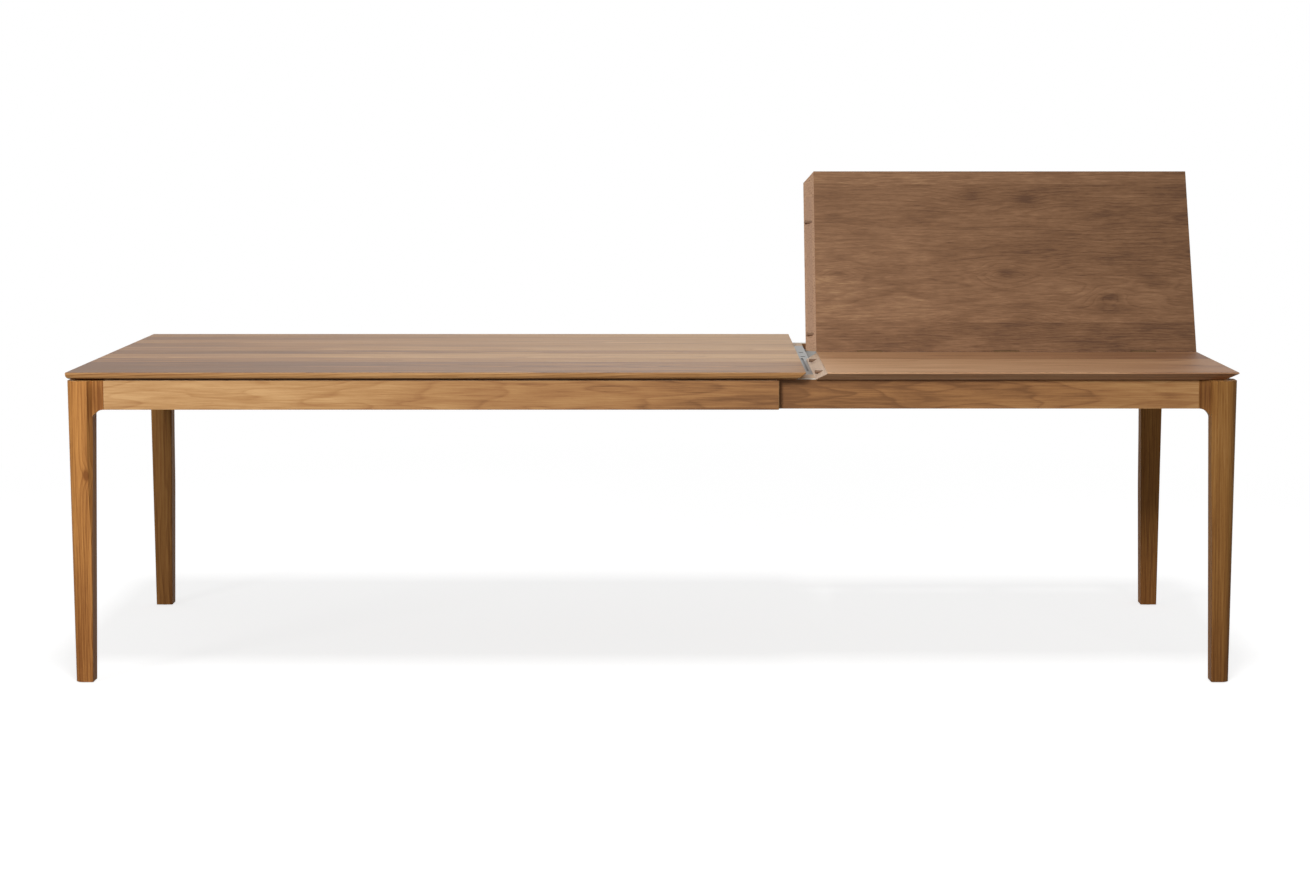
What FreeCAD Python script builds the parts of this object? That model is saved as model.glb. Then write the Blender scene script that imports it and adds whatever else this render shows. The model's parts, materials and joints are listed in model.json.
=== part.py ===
import FreeCAD, Part
import math
import os

# Extendable dining table, shown pulled out with the back half of its end leaf swung up.
# Millimetres. X runs along the table, Y from front to back, +Z up.
# The origin is on the floor, under the middle of the table's bounding box.

# ---------------------------------------------------------------- driving dimensions

# Tops
table_height = 765.0
top_length = 1800.0
top_width = 1000.0
leaf_length = 1000.0
top_thickness = 20.0
edge_land = 3.0
main_edge_land = 14.0
bevel_width = 27.0
closing_gap = 52.0
leaf_lean = 20.0
close_clearance = 0.4
fold_clearance = 0.25
fold_axis_lift = 0.3
lip_relief = 0.6

# Aprons
shadow_gap = 1.5
apron_height = 71.0
apron_thickness = 22.0
apron_inset = 14.0
apron_slide_clearance = 1.5
inner_apron_overlap = 440.0
tenon_thickness = 10.0
tenon_length = 22.0
tenon_margin = 9.0
tenon_clearance = 0.1

# Legs
leg_top_size = 62.5
leg_foot_size = 44.5
leg_top_inset = 0.5
leg_foot_inset = 12.0
leg_outer_radius_top = 26.0
leg_outer_radius_foot = 20.0
leg_arris_radius = 4.0
leg_arris_radius_foot = 3.0
ear_length = 27.0
ear_rise = 8.0
ear_hollow = 0.22
ear_sink = 1.5
foot_glide_radius = 14.0
foot_glide_thickness = 2.0
foot_pin_radius = 2.5
foot_pin_length = 14.0

# Corner blocks and their bolts
block_gap = 4.0
block_thickness = 26.0
block_margin = 3.0
bolt_radius = 4.0
bolt_in_leg = 24.0
bolt_edge = 19.0
bolt_hole_clearance = 0.4
bolt_thread_clearance = 0.05
washer_radius = 11.0
washer_thickness = 2.0
nut_width = 13.0
nut_height = 6.5
bolt_tail = 4.0

# Telescopic runners
runner_spare = 33.0
runner_height = 40.0
runner_depth = 12.5
runner_wall = 2.5
runner_lip = 6.0
runner_spacing = 3.0
runner_head_gap = 1.0
runner_web = 12.0
runner_pad_thickness = 0.8
runner_pad_length = 40.0
runner_end_gap = 5.0
runner_floor_gap = 15.0
runner_rail_thickness = 26.0
slat_clearance = 1.0

# Runner screws
screw_radius = 2.0
screw_length = 14.0
screw_head_radius = 3.8
screw_head_thickness = 1.5
screw_clearance = 0.05
screw_count = 5
screw_end_distance = 60.0

# Cross members
cross_rail_thickness = 24.0
cross_rail_distance = 180.0
batten_width = 70.0
batten_thickness = 12.0
batten_count = 3
slat_width = 70.0
slat_thickness = 13.0
slat_count = 3
slat_end_distance = 90.0
lip_rail_cover = 8.0
lip_rail_width = 90.0
lip_rail_thickness = 7.0
end_block_length = 80.0
seal_centre = -126.0
seal_length = 312.0
seal_width = 6.0
seal_depth = 2.0
seal_reach = 15.0
bumper_depth = 2.0
rest_clearance = 0.3
packer_inset = 5.0

# Catch plate and lock
plate_width = 30.0
plate_length = 230.0
plate_thickness = 3.0
plate_centre = 148.0
plate_hole_radius = 7.0
plate_hole_pitch = 108.0
plate_hole_centre = 128.0
plate_hole_reach = 20.0
lock_centre = 250.0
lock_boss_gap = 2.0
lock_boss_radius = 9.0
lock_plate_thickness = 3.0
lock_drop = 9.0
lock_pin_radius = 3.0
lock_pin_setback = 13.5
lock_pin_clearance = 0.6
lock_claw_width = 8.0
lock_claw_lead = 8.0
lock_arm_start = 9.0
lock_arm_end = 26.0
lock_handle_length = 62.0
lock_handle_width = 16.0
lock_turn = 80.0
lock_axle_radius = 3.0
lock_running_clearance = 0.05
lock_axle_head = 1.5

# Alignment dowels
dowel_radius = 4.0
dowel_reach = 14.0
dowel_set = 24.0
front_dowel_inner = 122.0
front_dowel_outer = 393.0
back_dowel_inner = 50.0
back_dowel_outer = 360.0
dowel_clearance = 0.3
bush_wall = 1.2
bush_set = 9.0
bush_length = 14.0

# Fold hinges
hinge_count = 3
hinge_length = 66.0
hinge_edge = 140.0
knuckle_radius = 3.0
knuckle_pin_radius = 1.2
knuckle_running_clearance = 0.04
knuckle_gap = 0.2
knuckle_relief = 0.4
hinge_plate_thickness = 1.5
hinge_plate_height = 15.0
hinge_plate_clearance = 0.1
hinge_screw_radius = 1.6
hinge_screw_length = 16.0
hinge_screw_pitch = 44.0

# Light strip let into the raised half's sloping end
spline_thickness = 2.0
spline_width = 18.0
spline_start = 56.0
spline_length = 374.0

# ---------------------------------------------------------------- derived places

total_length = top_length + closing_gap + leaf_length
x_left = -total_length / 2
x_right = total_length / 2
top_end = x_left + top_length
leaf_start = top_end + closing_gap
y_front = -top_width / 2
y_back = top_width / 2
top_z = table_height
under_z = table_height - top_thickness
land_z = table_height - edge_land
main_land_z = table_height - main_edge_land
frame_top = under_z - shadow_gap
frame_bottom = frame_top - apron_height
rest_z = under_z - rest_clearance
fold_z = top_z + fold_axis_lift
raised_angle = 90.0 - leaf_lean

leg_inner = leg_top_inset + leg_top_size
outer_face = apron_inset
outer_inner_face = outer_face + apron_thickness
inner_face = outer_inner_face + apron_slide_clearance
inner_inner_face = inner_face + apron_thickness
ear_end = leg_inner + ear_length
outer_apron_end = top_length - leg_inner - apron_slide_clearance

runner_z0 = frame_bottom + runner_floor_gap
runner_z1 = runner_z0 + runner_height
runner_mid = (runner_z0 + runner_z1) / 2
moving_v0 = inner_inner_face
moving_v1 = moving_v0 + runner_depth
fixed_v0 = moving_v1 + runner_spacing
fixed_v1 = fixed_v0 + runner_depth
rail_v1 = fixed_v1 + runner_rail_thickness
travel = leaf_length + closing_gap
runner_length = travel + runner_spare
block_front = leg_inner + block_gap / 2
block_back = block_front + block_thickness / math.sqrt(2)
moving_x1 = x_right - (2 * block_back - inner_inner_face) - runner_end_gap
moving_x0 = moving_x1 - runner_length
middle_x0 = moving_x0 - travel / 2
middle_x1 = middle_x0 + runner_length
fixed_x0 = moving_x0 - travel
fixed_x1 = fixed_x0 + runner_length

slide_in = closing_gap - close_clearance
lip_rail_x1 = leaf_start - bevel_width + lip_rail_cover
lip_rail_x0 = lip_rail_x1 - lip_rail_width
lock_x = lip_rail_x1 + lock_boss_gap + lock_boss_radius + slide_in
lock_pin_x = top_end - lock_pin_setback
lock_z1 = under_z - lock_drop
lock_z0 = lock_z1 - lock_plate_thickness
lip_rail_z0 = rest_z - lip_rail_thickness
dowel_z = under_z + top_thickness / 2
bevel_height = top_thickness - edge_land
dowel_face = bevel_width * (land_z - dowel_z) / bevel_height

parts = {}


# ---------------------------------------------------------------- small helpers

def vec(x, y, z):
    return FreeCAD.Vector(x, y, z)


def block(x0, x1, y0, y1, z0, z1):
    """A box between two corners."""
    return Part.makeBox(x1 - x0, y1 - y0, z1 - z0, vec(x0, y0, z0))


def rod(radius, length, start, direction):
    """A round bar of one radius from a start point."""
    return Part.makeCylinder(radius, length, start, direction)


def prism(points, push):
    """A solid pushed out from a closed outline of 3-D points."""
    outline = Part.makePolygon(points + [points[0]])
    return Part.Face(outline).extrude(push)


def across_y(shape):
    """The same shape on the other side of the table's long centre plane."""
    return shape.mirror(vec(0, 0, 0), vec(0, 1, 0))


def across_x(shape):
    """The same shape at the other end of the table."""
    return shape.mirror(vec(0, 0, 0), vec(1, 0, 0))


def swapped(shape):
    """The same shape with its two plan directions exchanged."""
    return shape.mirror(vec(0, 0, 0), vec(1, -1, 0))


def raised(shape):
    """A piece of the back half, turned up about the fold line from flat."""
    turned = shape.copy()
    turned.rotate(vec(0, 0, fold_z), vec(1, 0, 0), raised_angle)
    return turned


def spread(first, last, count):
    """Evenly spaced places from the first to the last."""
    step = (last - first) / (count - 1)
    return [first + step * i for i in range(count)]


def group(solids):
    """Separate solids in one node."""
    return Part.makeCompound(solids)


# ---------------------------------------------------------------- tops

def top_slab(x0, x1, y0, y1, low_land_z, lip):
    """A slab with a bevelled underside at both ends, or with a sloping lip at its low end."""
    low_end = x0 - bevel_width if lip else x0 + bevel_width
    profile = [
        vec(x0, y0, top_z),
        vec(x1, y0, top_z),
        vec(x1, y0, land_z),
        vec(x1 - bevel_width, y0, under_z),
        vec(low_end, y0, under_z),
        vec(x0, y0, low_land_z),
    ]
    return prism(profile, vec(0, y1 - y0, 0))


def front_bevel(x0, x1, low_land_z):
    """The wedge taken off along the underside of the front edge."""
    wedge = [
        vec(x0 - bevel_width, y_front, low_land_z),
        vec(x0 - bevel_width, y_front + bevel_width, under_z),
        vec(x0 - bevel_width, y_front, under_z),
    ]
    return prism(wedge, vec(x1 - x0 + 2 * bevel_width, 0, 0))


def dowel_places():
    return [-front_dowel_outer, -front_dowel_inner, back_dowel_inner, back_dowel_outer]


def dowel_at(y):
    """A dowel glued into the leaf's sloping end, pointing at the main top."""
    start = vec(leaf_start - dowel_face - dowel_reach, y, dowel_z)
    return rod(dowel_radius, dowel_reach + dowel_set, start, vec(1, 0, 0))


def bush_at(y):
    """A sleeve in the main top's end that a dowel slides into."""
    bore = dowel_radius + dowel_clearance
    start = vec(top_end - dowel_face - bush_set - bush_length, y, dowel_z)
    sleeve = rod(bore + bush_wall, bush_length, start, vec(1, 0, 0))
    return sleeve.cut(rod(bore, bush_length, start, vec(1, 0, 0)))


def make_main_top():
    slab = top_slab(x_left, top_end, y_front, y_back, main_land_z, False)
    slab = slab.cut(front_bevel(x_left, top_end, main_land_z))
    slab = slab.cut(across_y(front_bevel(x_left, top_end, main_land_z)))
    depth = bush_set + bush_length
    for y in dowel_places():
        start = vec(top_end - dowel_face - depth, y, dowel_z)
        wide = rod(dowel_radius + dowel_clearance + bush_wall, bush_length, start, vec(1, 0, 0))
        bore = rod(dowel_radius + dowel_clearance, depth + bevel_width, start, vec(1, 0, 0))
        slab = slab.cut(wide.fuse(bore))
    parts["main_top"] = slab
    parts["dowel_bushes"] = group([bush_at(y) for y in dowel_places()])


# ---------------------------------------------------------------- fold hinges

def hinge_places():
    middle = leaf_start + leaf_length / 2
    half = leaf_length / 2 - hinge_edge
    return spread(middle - half, middle + half, hinge_count)


def knuckle_spans(x):
    """Three knuckles: the outer two belong to the front half, the middle one to the back."""
    length = (hinge_length - 2 * knuckle_gap) / 3
    first = x - hinge_length / 2
    return [first + i * (length + knuckle_gap) for i in range(3)], length


def hinge_plate(x, grow):
    """The plate let into the front half's fold face."""
    y1 = -fold_clearance
    y0 = y1 - hinge_plate_thickness - grow
    half = hinge_length / 2 + grow
    return block(x - half, x + half, y0, y1, top_z - hinge_plate_height - grow, top_z)


def hinge_screw_places(x):
    return [x - hinge_screw_pitch / 2, x + hinge_screw_pitch / 2]


def hinge_screw(x, side):
    """A screw from the fold face into one half of the leaf; side is -1 front, 1 back."""
    z = top_z - hinge_plate_height / 2 - knuckle_radius / 2
    return rod(hinge_screw_radius, hinge_screw_length, vec(x, side * fold_clearance, z), vec(0, side, 0))


def hinge_half(x, side):
    """A plate with its knuckles around the fold line, in the flat position."""
    plate = hinge_plate(x, 0)
    if side > 0:
        plate = across_y(plate)
    starts, length = knuckle_spans(x)
    own = [starts[1]] if side > 0 else [starts[0], starts[2]]
    other = [starts[0], starts[2]] if side > 0 else [starts[1]]
    for start in other:
        room = rod(knuckle_radius + knuckle_relief, length + 2 * knuckle_gap,
                   vec(start - knuckle_gap, 0, fold_z), vec(1, 0, 0))
        plate = plate.cut(room)
    for start in own:
        plate = plate.fuse(rod(knuckle_radius, length, vec(start, 0, fold_z), vec(1, 0, 0)))
    bore = rod(knuckle_pin_radius + knuckle_running_clearance, hinge_length,
               vec(x - hinge_length / 2, 0, fold_z), vec(1, 0, 0))
    plate = plate.cut(bore)
    for screw_x in hinge_screw_places(x):
        plate = plate.cut(hinge_screw(screw_x, side))
    return plate.removeSplitter()


def hinge_room(side):
    """What the hinges take out of one half of the leaf."""
    rooms = []
    for x in hinge_places():
        plate = hinge_plate(x, hinge_plate_clearance)
        if side > 0:
            plate = across_y(plate)
        barrel = rod(knuckle_radius + knuckle_relief, hinge_length + 2 * knuckle_relief,
                     vec(x - hinge_length / 2 - knuckle_relief, 0, fold_z), vec(1, 0, 0))
        rooms.append(plate)
        rooms.append(barrel)
        rooms.extend([hinge_screw(screw_x, side) for screw_x in hinge_screw_places(x)])
    return rooms


def make_fold_hinges():
    places = hinge_places()
    parts["fold_hinges_front"] = group([hinge_half(x, -1) for x in places])
    parts["fold_hinges_back"] = raised(group([hinge_half(x, 1) for x in places]))
    parts["fold_hinge_pins"] = group([
        rod(knuckle_pin_radius, hinge_length, vec(x - hinge_length / 2, 0, fold_z), vec(1, 0, 0))
        for x in places
    ])
    for name, side in (("fold_screws_front", -1), ("fold_screws_back", 1)):
        screws = [hinge_screw(s, side) for x in places for s in hinge_screw_places(x)]
        parts[name] = group(screws) if side < 0 else raised(group(screws))


# ---------------------------------------------------------------- leaf

def leaf_half():
    """The front half of the leaf, flat, without its fittings."""
    slab = top_slab(leaf_start, x_right, y_front, -fold_clearance, land_z, True)
    return slab.cut(front_bevel(leaf_start, x_right, land_z))


def spline_solid():
    """The strip let into the sloping end of the back half, in the flat position."""
    slope = math.atan2(bevel_height, bevel_width)
    strip = block(0, spline_width, spline_start, spline_start + spline_length, -spline_thickness, 0)
    margin = (math.hypot(bevel_width, bevel_height) - spline_width) / 2
    strip.translate(vec(margin, 0, 0))
    strip.rotate(vec(0, 0, 0), vec(0, 1, 0), -math.degrees(slope))
    strip.translate(vec(leaf_start - bevel_width, 0, under_z))
    return strip


def make_leaf():
    front = leaf_half()
    front_dowels = [dowel_at(-front_dowel_outer), dowel_at(-front_dowel_inner)]
    front = front.cut(group(front_dowels))
    for room in hinge_room(-1):
        front = front.cut(room)
    front = front.cut(rod(lock_axle_radius, top_thickness / 2, vec(lock_x, -lock_centre, under_z), vec(0, 0, 1)))
    parts["leaf_front"] = front

    back = across_y(leaf_half())
    back_dowels = [dowel_at(back_dowel_inner), dowel_at(back_dowel_outer)]
    back = back.cut(group(back_dowels))
    for room in hinge_room(1):
        back = back.cut(room)
    spline = spline_solid().cut(group(back_dowels))
    back = raised(back.cut(spline))
    low_lip = block(leaf_start - 2 * bevel_width, leaf_start, -top_thickness, 2 * top_thickness,
                    under_z - top_thickness, top_z + lip_relief)
    parts["leaf_back"] = back.cut(low_lip)
    parts["leaf_back_strip"] = raised(spline)
    parts["leaf_dowels_front"] = group(front_dowels)
    parts["leaf_dowels_back"] = raised(group(back_dowels))


# ---------------------------------------------------------------- legs

def leg_section(size, inset, outer_radius, arris_radius, z):
    """A square section whose outer corner is well rounded and whose other corners are eased."""
    a = inset
    b = inset + size
    bend = math.sqrt(0.5)
    corners = [
        (a, a, outer_radius, 1, 1),
        (b, a, arris_radius, -1, 1),
        (b, b, arris_radius, -1, -1),
        (a, b, arris_radius, 1, -1),
    ]
    arcs = []
    for u, v, radius, du, dv in corners:
        centre = (u + du * radius, v + dv * radius)
        on_u = vec(u, centre[1], z)
        on_v = vec(centre[0], v, z)
        mid = vec(centre[0] - du * radius * bend, centre[1] - dv * radius * bend, z)
        ends = (on_u, on_v) if du * dv > 0 else (on_v, on_u)
        arcs.append((ends[0], mid, ends[1]))
    edges = []
    for i, (start, mid, end) in enumerate(arcs):
        edges.append(Part.Arc(start, mid, end).toShape())
        edges.append(Part.LineSegment(end, arcs[(i + 1) % 4][0]).toShape())
    return Part.Wire(edges)


def leg_inner_at(z):
    """Distance from the table's edge to the leg's inner face at one height."""
    foot_inner = leg_foot_inset + leg_foot_size
    share = (z - foot_glide_thickness) / (frame_top - foot_glide_thickness)
    return foot_inner + (leg_inner - foot_inner) * share


def ear(face):
    """The web that carries the leg into an apron, swept down into the leg by a hollow curve."""
    hollow_end = leg_inner_at(frame_bottom - ear_length) - ear_sink
    radius = ear_end - hollow_end
    low = frame_bottom - radius
    bend = radius * (1 - math.sqrt(0.5))
    hidden = leg_inner - leg_top_size / 2
    side = [
        Part.LineSegment(vec(hidden, 0, frame_top), vec(ear_end, 0, frame_top)).toShape(),
        Part.LineSegment(vec(ear_end, 0, frame_top), vec(ear_end, 0, frame_bottom)).toShape(),
        Part.Arc(vec(ear_end, 0, frame_bottom), vec(hollow_end + bend, 0, frame_bottom - bend),
                 vec(hollow_end, 0, low)).toShape(),
        Part.LineSegment(vec(hollow_end, 0, low), vec(hidden, 0, low)).toShape(),
        Part.LineSegment(vec(hidden, 0, low), vec(hidden, 0, frame_top)).toShape(),
    ]
    web = Part.Face(Part.Wire(side)).extrude(vec(0, face + apron_thickness, 0))
    start = max(face - ear_rise, leg_top_inset + leg_arris_radius + ear_sink)
    drop = face - start
    inside = face + apron_thickness
    middle = vec((leg_inner + ear_end) / 2, face - drop * ear_hollow, 0)
    plan = [
        Part.LineSegment(vec(hidden, start, 0), vec(leg_inner - ear_sink, start, 0)).toShape(),
        Part.Arc(vec(leg_inner - ear_sink, start, 0), middle, vec(ear_end, face, 0)).toShape(),
        Part.LineSegment(vec(ear_end, face, 0), vec(ear_end, inside, 0)).toShape(),
        Part.LineSegment(vec(ear_end, inside, 0), vec(hidden, inside, 0)).toShape(),
        Part.LineSegment(vec(hidden, inside, 0), vec(hidden, start, 0)).toShape(),
    ]
    column = Part.Face(Part.Wire(plan)).extrude(vec(0, 0, table_height))
    return web.common(column)


def tenon(face, grow):
    """The tongue on an apron's end, along X, from the leg's ear inwards."""
    middle = face + apron_thickness / 2
    half = tenon_thickness / 2 + grow
    z0 = frame_bottom + tenon_margin - grow
    z1 = frame_top - tenon_margin + grow
    return block(ear_end - tenon_length - grow, ear_end, middle - half, middle + half, z0, z1)


def diagonal(distance, z):
    """A point on the corner's diagonal, given its distance from each edge of the table."""
    return vec(distance, distance, z)


def bolt_heights():
    return [frame_bottom + bolt_edge, frame_top - bolt_edge]


def bolt_rod(radius, start, end, z):
    """A bar along the corner's diagonal between two distances from the edges."""
    length = (end - start) * math.sqrt(2)
    return rod(radius, length, diagonal(start, z), vec(1, 1, 0))


def bolt_start():
    return leg_inner - bolt_in_leg / math.sqrt(2)


def leg_solid(side_face):
    """A leg at the front left corner, measured inwards from the table's edges."""
    foot = leg_section(leg_foot_size, leg_foot_inset, leg_outer_radius_foot,
                       leg_arris_radius_foot, foot_glide_thickness)
    head = leg_section(leg_top_size, leg_top_inset, leg_outer_radius_top,
                       leg_arris_radius, frame_top)
    leg = Part.makeLoft([foot, head], True, True)
    leg = leg.fuse(ear(side_face)).fuse(swapped(ear(outer_face)))
    leg = leg.removeSplitter()
    leg = leg.cut(tenon(side_face, tenon_clearance))
    leg = leg.cut(swapped(tenon(outer_face, tenon_clearance)))
    for z in bolt_heights():
        leg = leg.cut(bolt_rod(bolt_radius + bolt_thread_clearance, bolt_start(), block_back, z))
    return leg.cut(foot_pin(foot_pin_radius))


def foot_centre():
    return leg_foot_inset + leg_foot_size / 2


def foot_pin(radius):
    """The nail of a glide, driven up into the foot."""
    centre = foot_centre()
    return rod(radius, foot_pin_length, vec(centre, centre, foot_glide_thickness), vec(0, 0, 1))


def foot_glide():
    centre = foot_centre()
    pad = rod(foot_glide_radius, foot_glide_thickness, vec(centre, centre, 0), vec(0, 0, 1))
    return pad.fuse(foot_pin(foot_pin_radius))


def corner_block(side_inner_face):
    """A block across the corner, seated on both aprons, that takes the leg bolts."""
    total0 = 2 * block_front
    total1 = 2 * block_back
    u0 = outer_inner_face
    v0 = side_inner_face
    z0 = frame_bottom + block_margin
    points = [
        vec(total0 - v0, v0, z0),
        vec(total1 - v0, v0, z0),
        vec(u0, total1 - u0, z0),
        vec(u0, total0 - u0, z0),
    ]
    solid = prism(points, vec(0, 0, apron_height - 2 * block_margin))
    for z in bolt_heights():
        hole = bolt_radius + bolt_hole_clearance
        solid = solid.cut(bolt_rod(hole, block_front - block_gap, block_back + block_gap, z))
    return solid


def hexagon_nut(z):
    """A nut behind the washer on one bolt."""
    start = block_back + washer_thickness / math.sqrt(2)
    radius = nut_width / math.sqrt(3)
    along = vec(1, 1, 0).normalize()
    across = vec(-1, 1, 0).normalize()
    base = diagonal(start, z)
    points = []
    for i in range(6):
        turn = math.radians(60 * i)
        point = base + across * (radius * math.cos(turn)) + vec(0, 0, 1) * (radius * math.sin(turn))
        points.append(point)
    nut = prism(points, along * nut_height)
    bore = rod(bolt_radius + bolt_thread_clearance, nut_height, base, along)
    return nut.cut(bore)


def bolt_set():
    """Bolts, washers and nuts of one corner."""
    nut_end = block_back + (washer_thickness + nut_height) / math.sqrt(2)
    end = nut_end + bolt_tail / math.sqrt(2)
    bolts = []
    washers = []
    nuts = []
    for z in bolt_heights():
        bolts.append(bolt_rod(bolt_radius, bolt_start(), end, z))
        washer_end = block_back + washer_thickness / math.sqrt(2)
        disc = bolt_rod(washer_radius, block_back, washer_end, z)
        hole = bolt_rod(bolt_radius + bolt_hole_clearance, block_back, washer_end, z)
        washers.append(disc.cut(hole))
        nuts.append(hexagon_nut(z))
    return bolts, washers, nuts


def to_corner(shape, right, back):
    """Moves a front left piece, measured from the edges, to its corner of the table."""
    placed = shape.copy()
    placed.translate(vec(x_left, y_front, 0))
    if right:
        placed = across_x(placed)
    if back:
        placed = across_y(placed)
    return placed


def make_legs():
    for end, right in (("left", False), ("right", True)):
        side_face = inner_face if right else outer_face
        side_inner = inner_inner_face if right else outer_inner_face
        bolts = []
        nuts = []
        for side, back in (("front", False), ("back", True)):
            name = side + "_" + end
            parts["leg_" + name] = to_corner(leg_solid(side_face), right, back)
            parts["foot_glide_" + name] = to_corner(foot_glide(), right, back)
            parts["corner_block_" + name] = to_corner(corner_block(side_inner), right, back)
            corner_sets = bolt_set()
            for found, kept in zip(corner_sets, (bolts, nuts, nuts)):
                kept.extend([to_corner(piece, right, back) for piece in found])
        parts["leg_bolts_" + end] = group(bolts)
        parts["leg_nuts_" + end] = group(nuts)


# ---------------------------------------------------------------- aprons and cross members

def screw_places(x0, x1):
    return spread(x0 + screw_end_distance, x1 - screw_end_distance, screw_count)


def runner_screw(x, v, outward):
    """A countersunk screw through a runner's back plate; outward is the way it is driven."""
    y = y_front + v
    shank = rod(screw_radius, screw_length, vec(x, y, runner_mid), vec(0, outward, 0))
    head = rod(screw_head_radius, screw_head_thickness, vec(x, y, runner_mid), vec(0, outward, 0))
    return shank.fuse(head)


def runner_screw_room(x, v, outward):
    y = y_front + v
    grown = screw_radius + screw_clearance
    shank = rod(grown, screw_length, vec(x, y, runner_mid), vec(0, outward, 0))
    head = rod(screw_head_radius + screw_clearance, screw_head_thickness,
               vec(x, y, runner_mid), vec(0, outward, 0))
    return shank.fuse(head)


def moving_screw_v():
    return moving_v0 + runner_wall


def fixed_screw_v():
    return fixed_v1 - runner_wall


def make_aprons():
    y0 = y_front + outer_face
    y1 = y_front + outer_inner_face
    outer = block(x_left + ear_end, x_left + outer_apron_end, y0, y1, frame_bottom, frame_top)
    tongue = tenon(outer_face, 0)
    tongue.translate(vec(x_left, y_front, 0))
    outer = outer.fuse(tongue).removeSplitter()
    parts["outer_apron_front"] = outer
    parts["outer_apron_back"] = across_y(outer)

    start = x_left + outer_apron_end - inner_apron_overlap
    y0 = y_front + inner_face
    y1 = y_front + inner_inner_face
    inner = block(start, x_right - ear_end, y0, y1, frame_bottom, frame_top)
    tongue = tenon(inner_face, 0)
    tongue.translate(vec(x_left, y_front, 0))
    inner = inner.fuse(across_x(tongue)).removeSplitter()
    for x in screw_places(moving_x0, moving_x1):
        inner = inner.cut(runner_screw_room(x, moving_screw_v(), -1))
    parts["inner_apron_front"] = inner
    parts["inner_apron_back"] = across_y(inner)

    end = block(x_left + outer_face, x_left + outer_inner_face,
                y_front + ear_end, y_back - ear_end, frame_bottom, frame_top)
    tongue = swapped(tenon(outer_face, 0))
    tongue.translate(vec(x_left, y_front, 0))
    end = end.fuse(tongue).fuse(across_y(tongue)).removeSplitter()
    parts["end_apron_left"] = end
    parts["end_apron_right"] = across_x(end)


def make_packers():
    """Strips in the shadow gap: the main top and the leaf bear on them."""
    v0 = outer_face + packer_inset
    v1 = outer_inner_face
    packer = block(x_left + ear_end, x_left + outer_apron_end - packer_inset,
                   y_front + v0, y_front + v1, frame_top, under_z)
    parts["top_packers"] = group([packer, across_y(packer)])
    start = x_left + outer_apron_end - inner_apron_overlap
    strip = block(start, x_right - ear_end, y_front + inner_face + packer_inset,
                  y_front + inner_inner_face, frame_top, rest_z)
    parts["glide_strips"] = group([strip, across_y(strip)])
    seat = block(x_right - outer_inner_face, x_right - outer_face - packer_inset,
                 y_front + ear_end, -packer_inset, frame_top, under_z)
    parts["leaf_seat"] = seat


def make_cross_members():
    rail_z0 = runner_z0 + slat_clearance
    x0 = x_left + cross_rail_distance
    cross = block(x0, x0 + cross_rail_thickness, y_front + outer_inner_face,
                  y_back - outer_inner_face, frame_bottom, under_z)
    parts["cross_rail"] = cross

    rail = block(x0 + cross_rail_thickness, x_left + outer_apron_end,
                 y_front + fixed_v1, y_front + rail_v1, rail_z0, under_z)
    for x in screw_places(fixed_x0, fixed_x1):
        rail = rail.cut(runner_screw_room(x, fixed_screw_v(), 1))
    parts["runner_rail_front"] = rail
    parts["runner_rail_back"] = across_y(rail)

    first = x0 + cross_rail_thickness + batten_width
    last = x_left + outer_apron_end - 2 * batten_width
    parts["top_battens"] = group([
        block(x, x + batten_width, y_front + rail_v1, y_back - rail_v1,
              under_z - batten_thickness, under_z)
        for x in spread(first, last, batten_count)
    ])

    first = leaf_start + slat_end_distance
    last = x_right - outer_inner_face - slat_end_distance - slat_width
    parts["storage_slats"] = group([
        block(x, x + slat_width, y_front + inner_inner_face, y_back - inner_inner_face,
              frame_bottom, frame_bottom + slat_thickness)
        for x in spread(first, last, slat_count)
    ])


# ---------------------------------------------------------------- runners

def channel(x0, x1, v0, v1, opens_inwards):
    """A C-shaped runner: back plate, top and bottom walls and two turned-in lips."""
    outside = block(x0, x1, y_front + v0, y_front + v1, runner_z0, runner_z1)
    hollow = block(x0, x1, y_front + v0 + runner_wall, y_front + v1 - runner_wall,
                   runner_z0 + runner_wall, runner_z1 - runner_wall)
    z0 = runner_z0 + runner_wall + runner_lip
    z1 = runner_z1 - runner_wall - runner_lip
    if opens_inwards:
        mouth = block(x0, x1, y_front + v1 - runner_wall, y_front + v1, z0, z1)
    else:
        mouth = block(x0, x1, y_front + v0, y_front + v0 + runner_wall, z0, z1)
    return outside.cut(hollow).cut(mouth)


def middle_beam():
    """The middle runner: a head in each channel, joined by a web."""
    half = runner_height / 2 - runner_wall - runner_head_gap
    heads = []
    for v0 in (moving_v0, fixed_v0):
        heads.append(block(middle_x0, middle_x1,
                           y_front + v0 + runner_wall + runner_head_gap,
                           y_front + v0 + runner_depth - runner_wall - runner_head_gap,
                           runner_mid - half, runner_mid + half))
    web = block(middle_x0, middle_x1, y_front + moving_v0 + runner_wall + runner_head_gap,
                y_front + fixed_v1 - runner_wall - runner_head_gap,
                runner_mid - runner_web / 2, runner_mid + runner_web / 2)
    return web.fuse(heads).removeSplitter()


def runner_pads():
    """Nylon pads on the heads of the middle runner, where they bear on the channels."""
    half = runner_height / 2 - runner_wall - runner_head_gap
    pads = []
    for v0 in (moving_v0, fixed_v0):
        for x in (middle_x0, middle_x1 - runner_pad_length):
            for low in (runner_mid + half, runner_mid - half - runner_pad_thickness):
                pads.append(block(x, x + runner_pad_length,
                                  y_front + v0 + runner_wall + runner_head_gap,
                                  y_front + v0 + runner_depth - runner_wall - runner_head_gap,
                                  low, low + runner_pad_thickness))
    return group(pads)


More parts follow.
